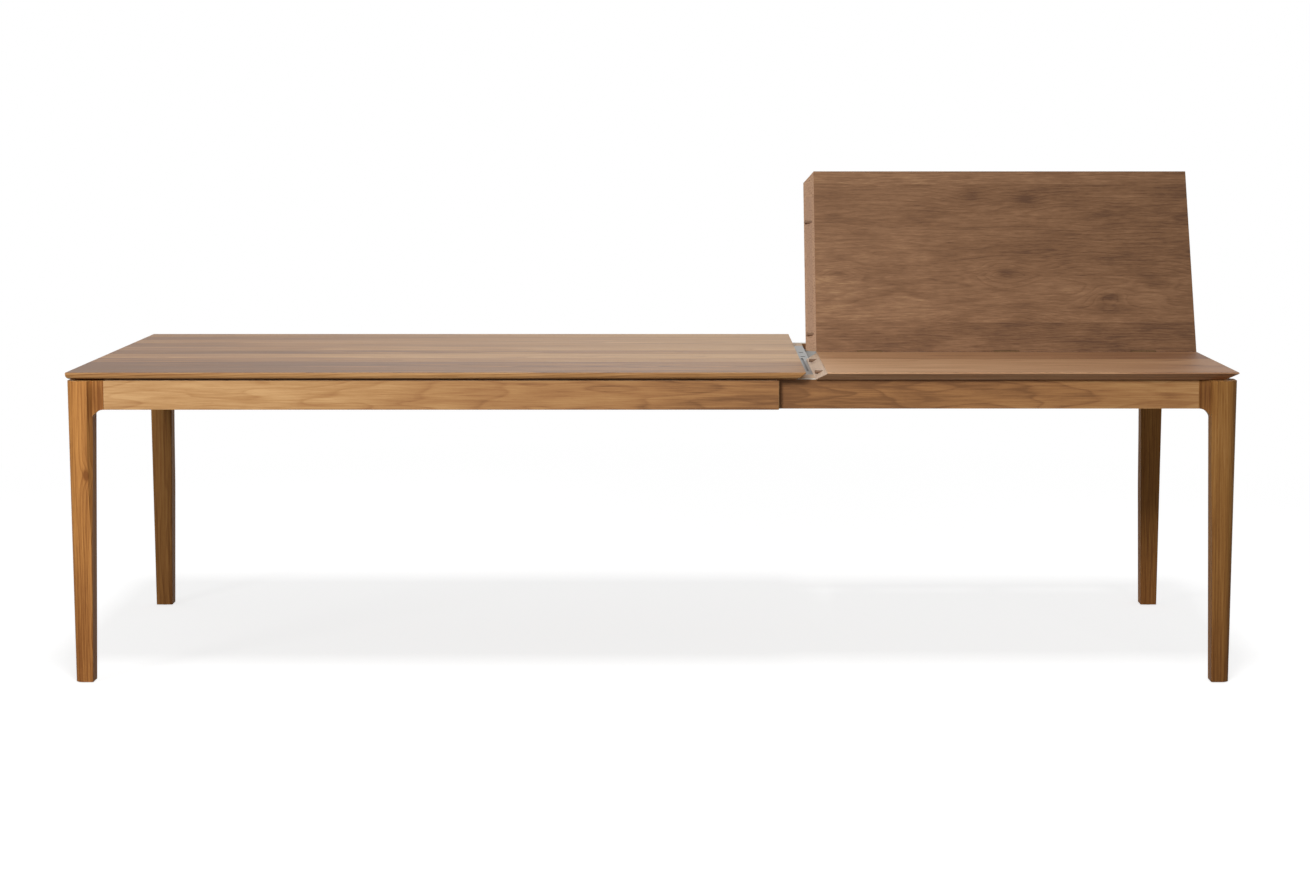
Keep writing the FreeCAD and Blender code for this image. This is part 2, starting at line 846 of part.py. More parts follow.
def make_runners():
    moving = channel(moving_x0, moving_x1, moving_v0, moving_v1, True)
    fixed = channel(fixed_x0, fixed_x1, fixed_v0, fixed_v1, False)
    moving_screws = []
    fixed_screws = []
    for x in screw_places(moving_x0, moving_x1):
        moving = moving.cut(runner_screw_room(x, moving_screw_v(), -1))
        moving_screws.append(runner_screw(x, moving_screw_v(), -1))
    for x in screw_places(fixed_x0, fixed_x1):
        fixed = fixed.cut(runner_screw_room(x, fixed_screw_v(), 1))
        fixed_screws.append(runner_screw(x, fixed_screw_v(), 1))
    middle = middle_beam()
    pads = runner_pads()
    for side, place in (("front", lambda s: s), ("back", across_y)):
        parts["moving_runner_" + side] = place(moving)
        parts["fixed_runner_" + side] = place(fixed)
        parts["middle_runner_" + side] = place(middle)
        parts["runner_pads_" + side] = place(pads)
    parts["runner_screws_moving"] = group(moving_screws + [across_y(s) for s in moving_screws])
    parts["runner_screws_fixed"] = group(fixed_screws + [across_y(s) for s in fixed_screws])


# ---------------------------------------------------------------- lip rail, catch plate and lock

def flat_hole(x, y, z0, z1):
    """An upright round hole of the catch plate's bore."""
    return rod(plate_hole_radius, z1 - z0, vec(x, y, z0), vec(0, 0, 1))


def make_lip_rail():
    """The flat rail under the main top's end, with its plate, seal, end blocks and the lock's pin."""
    y0 = y_front + inner_inner_face + slat_clearance
    rail = block(lip_rail_x0, lip_rail_x1, y0, -y0, lip_rail_z0, rest_z)
    seat = block(lip_rail_x0, top_end - bevel_width, y0, -y0, rest_z, under_z)
    rail = rail.fuse(seat).removeSplitter()
    end_room = block(lip_rail_x0, lip_rail_x1, y0, y0 + end_block_length, lip_rail_z0, under_z)
    front_block = rail.common(end_room)
    back_block = rail.common(across_y(end_room))
    rail = rail.cut(group([front_block, back_block]))

    plate_x0 = lip_rail_x1 - plate_width
    plate = block(plate_x0, lip_rail_x1, plate_centre - plate_length / 2,
                  plate_centre + plate_length / 2, rest_z - plate_thickness, rest_z)
    rail = rail.cut(plate)
    bumpers = []
    for y in (plate_hole_centre - plate_hole_pitch / 2, plate_hole_centre + plate_hole_pitch / 2):
        hole = flat_hole(top_end + plate_hole_reach, y, lip_rail_z0, rest_z)
        plate = plate.cut(hole)
        rail = rail.cut(hole)
        bumpers.append(flat_hole(top_end + plate_hole_reach, y, lip_rail_z0, rest_z - bumper_depth))

    seal_x0 = top_end + seal_reach - seal_width / 2
    seal = block(seal_x0, seal_x0 + seal_width, seal_centre - seal_length / 2,
                 seal_centre + seal_length / 2, rest_z - 2 * seal_depth, rest_z)
    rail = rail.cut(seal)
    sunk = block(seal_x0, seal_x0 + seal_width, seal_centre - seal_length / 2,
                 seal_centre + seal_length / 2, rest_z - 2 * seal_depth, rest_z - seal_depth)
    parts["lip_rail"] = rail
    parts["lip_rail_blocks"] = group([front_block, back_block])
    parts["lip_rail_rubbers"] = group(bumpers + [sunk])
    parts["catch_plate"] = plate
    start = vec(lock_pin_x, -lock_centre, lock_z0)
    parts["lock_pin"] = rod(lock_pin_radius, lip_rail_z0 - lock_z0, start, vec(0, 0, 1))


def sector(inner, outer, first, last):
    """A slice of a flat ring round the lock's axle, between two angles from +X."""
    centre = vec(lock_x, -lock_centre, lock_z0)
    up = vec(0, 0, 1)
    slice_ = Part.makeCylinder(outer, lock_plate_thickness, centre, up, last - first)
    if inner > 0:
        slice_ = slice_.cut(Part.makeCylinder(inner, lock_plate_thickness, centre, up, 360))
    slice_.rotate(centre, up, first)
    return slice_


def make_lock():
    """A lever under the leaf whose claw turns behind the pin and holds the closed joint."""
    pin_distance = lock_x - slide_in - lock_pin_x
    claw_inner = pin_distance + lock_pin_radius + lock_pin_clearance
    claw_outer = claw_inner + lock_claw_width
    centre = vec(lock_x, -lock_centre, lock_z0)
    up = vec(0, 0, 1)
    towards_pin = 180.0
    claw = sector(claw_inner, claw_outer, towards_pin - lock_claw_lead, towards_pin + lock_arm_end)
    arm = sector(0, claw_outer, towards_pin + lock_arm_start, towards_pin + lock_arm_end)
    hub = rod(lock_boss_radius, lock_plate_thickness, centre, up)
    handle = block(lock_x, lock_x + lock_handle_length, -lock_centre - lock_handle_width / 2,
                   -lock_centre + lock_handle_width / 2, lock_z0, lock_z1)
    tip = rod(lock_handle_width / 2, lock_plate_thickness, centre + vec(lock_handle_length, 0, 0), up)
    lever = hub.fuse([claw, arm, handle, tip])
    bore = lock_axle_radius + lock_running_clearance
    lever = lever.cut(rod(bore, lock_plate_thickness, centre, up)).removeSplitter()
    lever.rotate(centre, up, lock_turn)
    parts["lock_lever"] = lever

    boss = rod(lock_boss_radius, lock_drop, centre + vec(0, 0, lock_plate_thickness), up)
    axle = rod(lock_axle_radius, lock_plate_thickness + lock_drop + top_thickness / 2, centre, up)
    head = rod(lock_axle_radius * 2, lock_axle_head, centre - vec(0, 0, lock_axle_head), up)
    parts["lock_boss"] = boss.cut(axle)
    parts["lock_axle"] = axle.fuse(head)


def build_all():
    make_main_top()
    make_leaf()
    make_fold_hinges()
    make_legs()
    make_aprons()
    make_packers()
    make_cross_members()
    make_runners()
    make_lip_rail()
    make_lock()


build_all()

os.makedirs("parts", exist_ok=True)
for name, shape in parts.items():
    shape.exportStep("parts/" + name + ".step")
print(len(parts), "nodes written")
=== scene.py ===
# %% [markdown]
# # An extendable teak table, pulled out, with half of its end leaf swung up
# This lesson gives those parts the look of oiled teak, aluminium and brass, and remakes the
# boards whose eased edges catch the light. X runs along the table, Y goes from the front to the
# back and Z is up.

# %% Load the frame
import bmesh
import bpy
import json
import math
import numpy as np
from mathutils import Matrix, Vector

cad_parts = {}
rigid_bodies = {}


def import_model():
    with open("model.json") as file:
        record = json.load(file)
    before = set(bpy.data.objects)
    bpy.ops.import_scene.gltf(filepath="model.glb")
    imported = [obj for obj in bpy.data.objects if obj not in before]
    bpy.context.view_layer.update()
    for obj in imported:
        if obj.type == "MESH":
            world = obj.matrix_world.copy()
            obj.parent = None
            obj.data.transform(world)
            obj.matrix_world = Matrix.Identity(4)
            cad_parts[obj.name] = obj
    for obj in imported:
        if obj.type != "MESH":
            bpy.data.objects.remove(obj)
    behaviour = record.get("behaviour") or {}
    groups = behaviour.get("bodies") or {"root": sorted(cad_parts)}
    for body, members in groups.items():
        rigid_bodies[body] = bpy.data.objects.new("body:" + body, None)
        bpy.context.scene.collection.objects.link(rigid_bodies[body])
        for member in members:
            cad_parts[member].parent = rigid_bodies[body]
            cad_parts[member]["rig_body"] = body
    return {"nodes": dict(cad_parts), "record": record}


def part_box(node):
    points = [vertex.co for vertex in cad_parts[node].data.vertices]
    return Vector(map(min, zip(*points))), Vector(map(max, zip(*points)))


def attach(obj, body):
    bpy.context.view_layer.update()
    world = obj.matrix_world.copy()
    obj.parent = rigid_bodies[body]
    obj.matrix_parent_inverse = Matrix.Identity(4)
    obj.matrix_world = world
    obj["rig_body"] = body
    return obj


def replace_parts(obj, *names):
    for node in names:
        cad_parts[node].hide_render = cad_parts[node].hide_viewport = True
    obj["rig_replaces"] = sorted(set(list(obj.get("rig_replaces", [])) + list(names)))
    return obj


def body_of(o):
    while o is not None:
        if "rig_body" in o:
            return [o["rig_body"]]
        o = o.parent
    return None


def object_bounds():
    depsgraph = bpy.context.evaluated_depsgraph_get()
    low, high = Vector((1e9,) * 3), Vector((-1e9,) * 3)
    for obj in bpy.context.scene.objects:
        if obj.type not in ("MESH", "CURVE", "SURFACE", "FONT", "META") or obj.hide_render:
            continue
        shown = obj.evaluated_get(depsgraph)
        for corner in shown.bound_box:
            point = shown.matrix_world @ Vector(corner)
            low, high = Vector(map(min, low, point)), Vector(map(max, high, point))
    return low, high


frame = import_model()
cad_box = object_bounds()
nodes = frame["nodes"]

# %% [markdown]
# ## Camera
# A table is drawn best with upright legs. So the camera looks straight along the depth of the
# table, tipped down by only three degrees, and the lens shift slides the picture down for the
# rest, as an architect's camera does. More tilt would make the legs lean towards each other.

# %% Camera
camera_data = bpy.data.cameras.new("camera")
camera = bpy.data.objects.new("camera", camera_data)
bpy.context.scene.collection.objects.link(camera)
bpy.context.scene.camera = camera
camera.location = (0.0762, -6.426, 1.4181)
camera.rotation_euler = (math.radians(86.8), 0, 0)
camera_data.lens = 67.4
camera_data.sensor_width = 36.0
camera_data.shift_x = -0.0217
camera_data.shift_y = -0.1498
camera_data.clip_end = 60.0
print("camera at", tuple(camera.location), "lens", camera_data.lens, "mm")

# %% [markdown]
# ## Colours and nodes
# Colours are written as people pick them on a screen, as sRGB hex values. Blender's shaders work
# in linear light, so one function turns them. A second one adds a node, sets its sockets and
# draws the links into it, which keeps a material short enough to read.

# %% Colour and node helpers
def linear(hex_colour):
    """sRGB hex to linear RGBA: a twelfth near black, elsewhere the 2.4 power of the eased value."""
    channels = [int(hex_colour[i:i + 2], 16) / 255 for i in (1, 3, 5)]
    lin = [c / 12.92 if c <= 0.04045 else ((c + 0.055) / 1.055) ** 2.4 for c in channels]
    return (*lin, 1.0)


def add(tree, kind, sockets=(), stops=(), **settings):
    """Adds a node with its settings. A socket gets a value, or a node or an output to link from.
    stops are the (position, hex colour) pairs of a colour ramp."""
    made = tree.nodes.new("ShaderNode" + kind)
    for key, value in settings.items():
        setattr(made, key, value)
    pairs = sockets.items() if isinstance(sockets, dict) else enumerate(sockets)
    for key, value in pairs:
        if isinstance(value, bpy.types.Node):
            value = value.outputs[0]
        if isinstance(value, bpy.types.NodeSocket):
            tree.links.new(value, made.inputs[key])
        else:
            made.inputs[key].default_value = value
    for i, (position, colour) in enumerate(stops):
        elements = made.color_ramp.elements
        stop = elements[i] if i < 2 else elements.new(position)
        stop.position = position
        stop.color = linear(colour)
    return made


def blank(name):
    """A new material with nothing but its output: the material, its tree and the output node."""
    material = bpy.data.materials.new(name)
    material.use_nodes = True
    tree = material.node_tree
    tree.nodes.clear()
    return material, tree, add(tree, "OutputMaterial")


def toned(hex_colour, share):
    """The same hue with its linear light times share, as a hex colour again."""
    light = np.array(linear(hex_colour)[:3]) * share
    eased = np.where(light <= 0.0031308, 12.92 * light, 1.055 * light ** (1 / 2.4) - 0.055)
    return "#" + "".join(f"{round(255 * c):02x}" for c in np.clip(eased, 0, 1))


print("a mid grey is", [round(c, 3) for c in linear("#808080")])

# %% [markdown]
# ## Floor, backdrop and light
# The table stands on pale studio paper with white all round it. The paper glows where it is
# seen, so that only the table's soft shadow is left on it, and further out it fades to white. A
# high lamp throws the shadow of the top down and a little back, and light linking lets it light
# the paper alone. The key stands in front, to the left, so the wood is bright on the left and
# darker to the right; it leaves out the paper. Two weak lamps fill the ends, and one behind the
# table keeps its back from going black.

# %% Floor and world
def seen_ray(tree):
    """1 where a ray comes from the camera, off a shiny surface or through glass, and 0 elsewhere."""
    path = add(tree, "LightPath").outputs
    first = add(tree, "Math", (path["Is Camera Ray"], path["Is Glossy Ray"]), operation="MAXIMUM")
    return add(tree, "Math", (first, path["Is Transmission Ray"]), operation="MAXIMUM")


def studio_paper():
    """Matt paper, grey for the light that it throws back at the table and pale where it is seen.
    There it glows too, and from 2.6 m to 4 m out it turns plain white."""
    material, tree, output = blank("studio_paper")
    coords = add(tree, "TexCoord").outputs["Object"]
    far = add(tree, "VectorMath", (coords,), operation="LENGTH").outputs["Value"]
    fade = add(tree, "MapRange", {"Value": far, "From Min": 2.6, "From Max": 4.0},
               interpolation_type="SMOOTHSTEP")
    seen = seen_ray(tree)
    grey = add(tree, "BsdfDiffuse", {"Color": linear("#888888")})
    pale = add(tree, "BsdfDiffuse", {"Color": linear("#d2d2d2")})
    paper = add(tree, "MixShader", (seen, grey, pale))
    strength = add(tree, "Math", (seen, 0.755), operation="MULTIPLY")
    glow = add(tree, "Emission", {"Strength": strength})
    near = add(tree, "AddShader", (paper, glow))
    white = add(tree, "Emission", {"Strength": 1.0})
    outer = add(tree, "Math", (fade, seen), operation="MULTIPLY")
    whole = add(tree, "MixShader", (outer, near, white))
    tree.links.new(whole.outputs[0], output.inputs["Surface"])
    return material


floor_half = 16.0
floor_corners = [(floor_half * x, floor_half * y, 0) for x, y in ((-1, -1), (1, -1), (1, 1), (-1, 1))]
floor_mesh = bpy.data.meshes.new("studio_floor")
floor_mesh.from_pydata(floor_corners, [], [(0, 1, 2, 3)])
floor_mesh.materials.append(studio_paper())
floor = bpy.data.objects.new("studio_floor", floor_mesh)
bpy.context.scene.collection.objects.link(floor)

world = bpy.data.worlds.new("studio")
bpy.context.scene.world = world
world.use_nodes = True
world.node_tree.nodes.clear()
room = add(world.node_tree, "Background", {"Color": (1, 1, 1, 1), "Strength": 0.22})
white = add(world.node_tree, "Background", {"Color": (1, 1, 1, 1), "Strength": 1.0})
chosen = add(world.node_tree, "MixShader", (seen_ray(world.node_tree), room, white))
add(world.node_tree, "OutputWorld", {"Surface": chosen})
print("floor", 2 * floor_half, "m wide")


# %% Lamps
def lamp(name, place, aim, width, height, power):
    """A rectangular soft lamp at a place, turned to face the aim."""
    data = bpy.data.lights.new(name, "AREA")
    data.shape = "RECTANGLE"
    data.size = width
    data.size_y = height
    data.energy = power
    made = bpy.data.objects.new(name, data)
    bpy.context.scene.collection.objects.link(made)
    line = np.array(aim, float) - np.array(place, float)
    flat = math.hypot(line[0], line[1])
    made.location = place
    made.rotation_euler = (math.atan2(flat, -line[2]), 0, math.atan2(line[1], line[0]) - math.pi / 2)
    return made


key = lamp("key_left", (-1.6, -4.9, 3.3), (-0.3, 0.0, 0.6), 1.4, 1.4, 255)
lamp("fill_left", (-3.4, -3.2, 1.9), (-1.2, -0.4, 0.6), 0.8, 0.8, 16)
lamp("fill_right", (2.2, -4.8, 3.6), (0.6, 0.0, 0.7), 1.6, 1.6, 16)
back = lamp("back_fill", (-0.4, 5.6, 5.2), (0.0, 0.0, 0.4), 2.4, 1.6, 55)
overhead = lamp("overhead", (0.0, -3.9, 10.0), (0.0, 0.2, 0.0), 1.2, 2.0, 260)
# EXCLUDE keeps a lamp's light off the paper, and INCLUDE keeps it off everything else.
for light, state in ((key, "EXCLUDE"), (back, "EXCLUDE"), (overhead, "INCLUDE")):
    lit = bpy.data.collections.new(light.name + "_paper")
    lit.objects.link(floor)
    lit.collection_objects[0].light_linking.link_state = state
    light.light_linking.receiver_collection = lit
bpy.context.scene.view_settings.view_transform = "Standard"
print("five lamps: only the overhead one and the two small fills light the paper")

# %% [markdown]
# ## Boards with eased edges
# A joiner takes the sharp arris off every board, and that thin rounded line is what catches the
# light. Each board here starts as a copy of the part that it stands for. Its triangles are joined
# and the flat groups become single faces, because a Bevel modifier works on clean edges only. The
# modifier reads a weight on each edge, so one board can have a full nose on the sides that people
# touch and a tight arris where it meets its neighbour.

# %% A board that can be eased
def board(name, node):
    """A copy of a part's triangles: equal points become one, flat groups of faces become one."""
    mesh = nodes[node].data.copy()
    mesh.name = name
    work = bmesh.new()
    work.from_mesh(mesh)
    bmesh.ops.remove_doubles(work, verts=work.verts, dist=1e-6)
    bmesh.ops.dissolve_limit(work, angle_limit=math.radians(0.2), verts=work.verts,
                             edges=work.edges)
    work.to_mesh(mesh)
    work.free()
    mesh.shade_smooth()
    mesh.set_sharp_from_angle(angle=math.radians(24))
    piece = bpy.data.objects.new(name, mesh)
    bpy.context.scene.collection.objects.link(piece)
    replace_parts(piece, node)
    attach(piece, body_of(nodes[node])[0])
    return piece


def edge_ends(mesh):
    """The two ends of every edge as one array, shape (edges, 2, 3), in metres."""
    points = np.empty(3 * len(mesh.vertices))
    mesh.vertices.foreach_get("co", points)
    ends = np.empty(2 * len(mesh.edges), dtype=np.int32)
    mesh.edges.foreach_get("vertices", ends)
    return points.reshape(-1, 3)[ends.reshape(-1, 2)]


def ease(piece, widest_mm, rules, ends=None, segments=4):
    """Each rule is (axis, place, width in mm): an edge that lies wholly in that plane is rounded
    to that width. An edge in two planes keeps the last rule's width. Its weight is width over
    widest, which is what the Bevel modifier multiplies."""
    mesh = piece.data
    ends = edge_ends(mesh) if ends is None else ends
    weight = np.zeros(len(ends))
    for axis, place, width_mm in rules:
        lies_in = (np.abs(ends[:, :, axis] - place) < 2e-5).all(axis=1)
        weight[lies_in] = width_mm / widest_mm
    layer = mesh.attributes.new("bevel_weight_edge", "FLOAT", "EDGE")
    layer.data.foreach_set("value", weight)
    rounding = piece.modifiers.new("eased_edges", "BEVEL")
    rounding.limit_method = "WEIGHT"
    rounding.width = widest_mm / 1000
    rounding.segments = segments
    normals = piece.modifiers.new("flat_faces", "WEIGHTED_NORMAL")
    normals.keep_sharp = True
    print(piece.name, int((weight > 0).sum()), "edges eased")


# %% The two tops and the raised half
# The raised half is laid flat in numbers alone, so that its edges can be named by their place.
joints = {joint["name"]: joint for joint in frame["record"]["behaviour"]["joints"]}
raised = math.radians(-joints["leaf_fold"]["range_deg"][0])
fold = np.array([0.0, 0.0, joints["leaf_fold"]["pos_m"][2]])
lay_flat = np.array([[1, 0, 0], [0, math.cos(raised), -math.sin(raised)],
                     [0, math.sin(raised), math.cos(raised)]])
top_low, top_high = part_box("main_top")
leaf_low, leaf_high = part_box("leaf_front")
lip_width = 0.027
lip_start = leaf_low.x + lip_width

main_top = board("main_top_board", "main_top")
ease(main_top, 11.4, ((0, top_high.x, 0.8), (0, top_low.x, 2.4), (1, top_low.y, 2.4),
                      (1, top_high.y, 2.4), (2, top_high.z - 0.014, 11.4)), segments=6)
leaf_front = board("leaf_front_board", "leaf_front")
ease(leaf_front, 1.2, ((0, lip_start, 0.7), (0, leaf_low.x, 0.5), (0, leaf_high.x, 1.0),
                       (1, leaf_low.y, 1.0), (1, leaf_high.y, 0.6)))
leaf_back = board("leaf_back_board", "leaf_back")
laid_down = (edge_ends(leaf_back.data) - fold) @ lay_flat + fold
ease(leaf_back, 1.2, ((0, lip_start, 0.7), (0, leaf_low.x, 0.5), (0, leaf_high.x, 1.0),
                      (1, -leaf_low.y, 1.0), (1, -leaf_high.y, 0.6)), laid_down)

# %% Rails
rails = {}
for side in ("front", "back"):
    for kind in ("outer", "inner"):
        node = kind + "_apron_" + side
        low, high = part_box(node)
        rails[node] = board(kind + "_rail_" + side, node)
        ease(rails[node], 2.5, ((1, low.y, 0.8), (1, high.y, 0.8), (0, low.x, 2.5),
                                (0, high.x, 2.5)), segments=3)
for end in ("left", "right"):
    node = "end_apron_" + end
    low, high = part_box(node)
    rails[node] = board("end_rail_" + end, node)
    ease(rails[node], 1.5, ((0, low.x, 1.5), (0, high.x, 1.5)), segments=3)

# %% [markdown]
# ## Legs
# Each leg is cut from one piece with the ear that carries it into the rails. Below the ear a
# long shallow facet is planed off the inner corner, wide under the rail and running out halfway
# down. A facet is a plain cut, so it is made by a Boolean modifier with a slender wedge. The
# wedge's section is a triangle at each height, and only the width of the cut changes.

# %% The planed facet and the legs
def facet_wedge(side_x, side_y, half_x, half_y):
    """The cut meets the front face one width from the leg's corner, and the inner face 1.6 widths
    from it. The width rises from -0.5 mm at 0.22 m to 10.5 mm at 0.6 m along 3 t^2 - 2 t^3. The
    leg's faces lean, so face and inner are their places at each height. u runs in from the
    table's end and v from its long side."""
    z = np.linspace(0.21, 0.76, 40)
    t = np.clip((z - 0.22) / 0.38, 0, 1)
    width = 0.011 * (3 * t ** 2 - 2 * t ** 3) - 0.0005
    foot_z, leg_length = 0.002, 0.7415
    foot_inset, top_inset = 0.012, 0.0005
    foot_size, top_size = 0.0445, 0.0625
    share = (z - foot_z) / leg_length
    face = foot_inset + (top_inset - foot_inset) * share
    inner = face + foot_size + (top_size - foot_size) * share
    slope = 1.6
    past = 0.001
    u = np.stack([inner - 1.5 * width - past, inner + past, inner + past], axis=1)
    v = np.stack([face - slope * (0.5 * width + past), face + slope * (width + past),
                  face - 0.012], axis=1)
    spots = np.stack([side_x * (half_x - u), side_y * (half_y - v), np.repeat(z[:, None], 3, 1)],
                     axis=2)
    first = 3 * np.arange(len(z) - 1)[:, None]
    ring = np.arange(3)[None, :]
    after = (ring + 1) % 3
    sides = np.stack([first + ring, first + after, first + 3 + after, first + 3 + ring], axis=2)
    faces = sides.reshape(-1, 4).tolist() + [[0, 2, 1], [3 * len(z) - 3 + i for i in range(3)]]
    mesh = bpy.data.meshes.new("facet_wedge")
    mesh.from_pydata(spots.reshape(-1, 3).tolist(), [], faces)
    work = bmesh.new()
    work.from_mesh(mesh)
    bmesh.ops.recalc_face_normals(work, faces=work.faces)
    work.to_mesh(mesh)
    work.free()
    wedge = bpy.data.objects.new("facet_wedge", mesh)
    bpy.context.scene.collection.objects.link(wedge)
    return wedge


def settle(piece):
    """Replaces a piece's mesh by what its modifiers make of it."""
    bpy.context.view_layer.update()
    seen = piece.evaluated_get(bpy.context.evaluated_depsgraph_get())
    mesh = bpy.data.meshes.new_from_object(seen)
    piece.modifiers.clear()
    piece.data = mesh
    mesh.name = piece.name


legs = {}
for place in ("front_left", "front_right", "back_left", "back_right"):
    leg = board("leg_" + place + "_shaped", "leg_" + place)
    side_x = -1 if place.endswith("left") else 1
    side_y = -1 if place.startswith("front") else 1
    wedge = facet_wedge(side_x, side_y, *cad_box[1][:2])
    cut = leg.modifiers.new("planed_facet", "BOOLEAN")
    cut.operation = "DIFFERENCE"
    cut.object = wedge
    cut.solver = "EXACT"
    settle(leg)
    leg.data.shade_smooth()
    leg.data.set_sharp_from_angle(angle=math.radians(15))
    bpy.data.objects.remove(wedge)
    legs[place] = leg
print(len(legs), "legs,", len(legs["front_left"].data.polygons), "faces each")

# %% [markdown]
# ## Oiled teak
# The table is solid teak, planed, sanded and oiled. A trunk grows a ring round its pith each
# year, and a board is a flat cut through those rings. So the figure isn't painted on: the
# material works out how far each point lies from its board's pith and turns that distance into
# rings. A face then shows long flames and an edge shows lines, all from one formula. Streaks and
# pores run along the grain, and every board has its own tone and pith.

# %% Teak: boards, rings and fibres
boards_per_seed = 7.31


def glued_boards(tree, local, board_mm, seed):
    """The board's number is the whole part of (across / width + 7.31 seed). Three chance values
    belong to each number, and the place inside the board is what is left of the fraction."""
    across = add(tree, "SeparateXYZ", (local,)).outputs[1]
    count = add(tree, "Math", (across, 1000 / board_mm, seed * boards_per_seed),
                operation="MULTIPLY_ADD")
    number = add(tree, "Math", (count,), operation="FLOOR")
    seeded = add(tree, "Math", (number, seed), operation="ADD")
    chance = add(tree, "TexWhiteNoise", {"W": seeded}, noise_dimensions="1D").outputs["Color"]
    part = add(tree, "Math", (count, number), operation="SUBTRACT")
    inside = add(tree, "Math", (part, board_mm / 1000, -board_mm / 2000), operation="MULTIPLY_ADD")
    shift = add(tree, "VectorMath", (chance, (9.0, 5.0, 7.0)), operation="MULTIPLY")
    place = add(tree, "VectorMath", (local, shift), operation="ADD")
    return chance, inside, place


def fibres(tree, place, size_mm, detail, seed):
    """Noise whose cells measure size_mm along, across and through the board."""
    cells = {"Vector": place, "Location": (seed, 1.7 * seed, 0.6 * seed),
             "Scale": tuple(1000 / size for size in size_mm)}
    stretched = add(tree, "Mapping", cells)
    return add(tree, "TexNoise", {"Vector": stretched, "Scale": 1.0, "Detail": detail,
                                  "Roughness": 0.6})


def knot_hill(tree, local, knot, spread):
    """exp(-spread * distance squared), with the distance measured in knots and halved along the
    grain, so it is 1 at the knot and dies away as an oval."""
    along, across, size_mm = knot[:3]
    cell = (500 / size_mm, 1000 / size_mm, 0.0)
    centred = add(tree, "VectorMath", (local, (along, across, 0.0)), operation="SUBTRACT")
    scaled = add(tree, "VectorMath", (centred, cell), operation="MULTIPLY")
    square = add(tree, "VectorMath", (scaled, scaled), operation="DOT_PRODUCT").outputs["Value"]
    fall = add(tree, "Math", (square, -spread), operation="MULTIPLY")
    return add(tree, "Math", (fall,), operation="EXPONENT")


def growth_rings(tree, local, chance, inside, place, knots, ring_mm, seed, late_wood):
    """Distance from the pith = length of (side, depth). The pith lies 20 to 70 mm under the board
    and up to 35 mm to either side, and slopes up to 3 % along it. Noise makes the distance wander
    by 30 mm and a knot adds a hill, so rings flow round the knot. late_wood is the ramp over one
    ring, white where the wood is darkest."""
    along, _, through = add(tree, "SeparateXYZ", (local,)).outputs
    luck = add(tree, "SeparateXYZ", (chance,)).outputs
    side = add(tree, "Math", (luck[0], 0.07, -0.035), operation="MULTIPLY_ADD")
    side = add(tree, "Math", (side, inside), operation="ADD")
    drift = add(tree, "Math", (luck[2], 0.06, -0.03), operation="MULTIPLY_ADD")
    depth = add(tree, "Math", (along, drift, through), operation="MULTIPLY_ADD")
    under = add(tree, "Math", (luck[1], 0.05, 0.02), operation="MULTIPLY_ADD")
    depth = add(tree, "Math", (depth, under), operation="ADD")
    pith = add(tree, "CombineXYZ", (side, depth))
    radius = add(tree, "VectorMath", (pith,), operation="LENGTH").outputs["Value"]
    wander = fibres(tree, place, (620, 75, 75), 2.0, seed)
    radius = add(tree, "Math", (wander, 0.03, radius), operation="MULTIPLY_ADD")
    for knot in knots:
        hill = knot_hill(tree, local, knot, 0.35)
        radius = add(tree, "Math", (hill, knot[3] / 1000, radius), operation="MULTIPLY_ADD")
    turns = add(tree, "Math", (radius, 1000 / ring_mm), operation="MULTIPLY")
    phase = add(tree, "Math", (turns,), operation="FRACT")
    return add(tree, "ValToRGB", {"Fac": phase}, stops=late_wood)


def end_grain(tree, coords, local, grain, face_colour, pale, dark):
    """Where the surface looks along the grain, cut pores show as speckle. The share of it is
    |normal . grain| smoothly stepped from 0.35 to 0.6."""
    facing = add(tree, "VectorMath", (coords["Normal"], grain), operation="DOT_PRODUCT")
    facing = add(tree, "Math", (facing.outputs["Value"],), operation="ABSOLUTE")
    share = add(tree, "MapRange", {"Value": facing, "From Min": 0.35, "From Max": 0.6},
                interpolation_type="SMOOTHSTEP")
    # Real pores are 0.3 mm wide; these are 2.4 mm, so that they still show from across a room.
    pores = fibres(tree, local, (2.4, 2.4, 2.4), 2.0, 1.0)
    speckle = add(tree, "ValToRGB", {"Fac": pores}, stops=((0.36, dark), (0.5, pale)))
    mixed = add(tree, "Mix", {0: share, 6: face_colour, 7: speckle}, data_type="RGBA")
    return mixed.outputs[2]


# How dense the wood is over one year's ring. The soft rings end in a fainter line of late wood.
plain_rings = ((0.0, "#606060"), (0.14, "#303030"), (0.72, "#9a9a9a"), (0.9, "#e0e0e0"),
               (1.0, "#606060"))
soft_rings = ((0.0, "#7a7a7a"), (0.12, "#484848"), (0.3, "#7a7a7a"), (0.7, "#8c8c8c"),
              (0.9, "#c4c4c4"), (1.0, "#7a7a7a"))


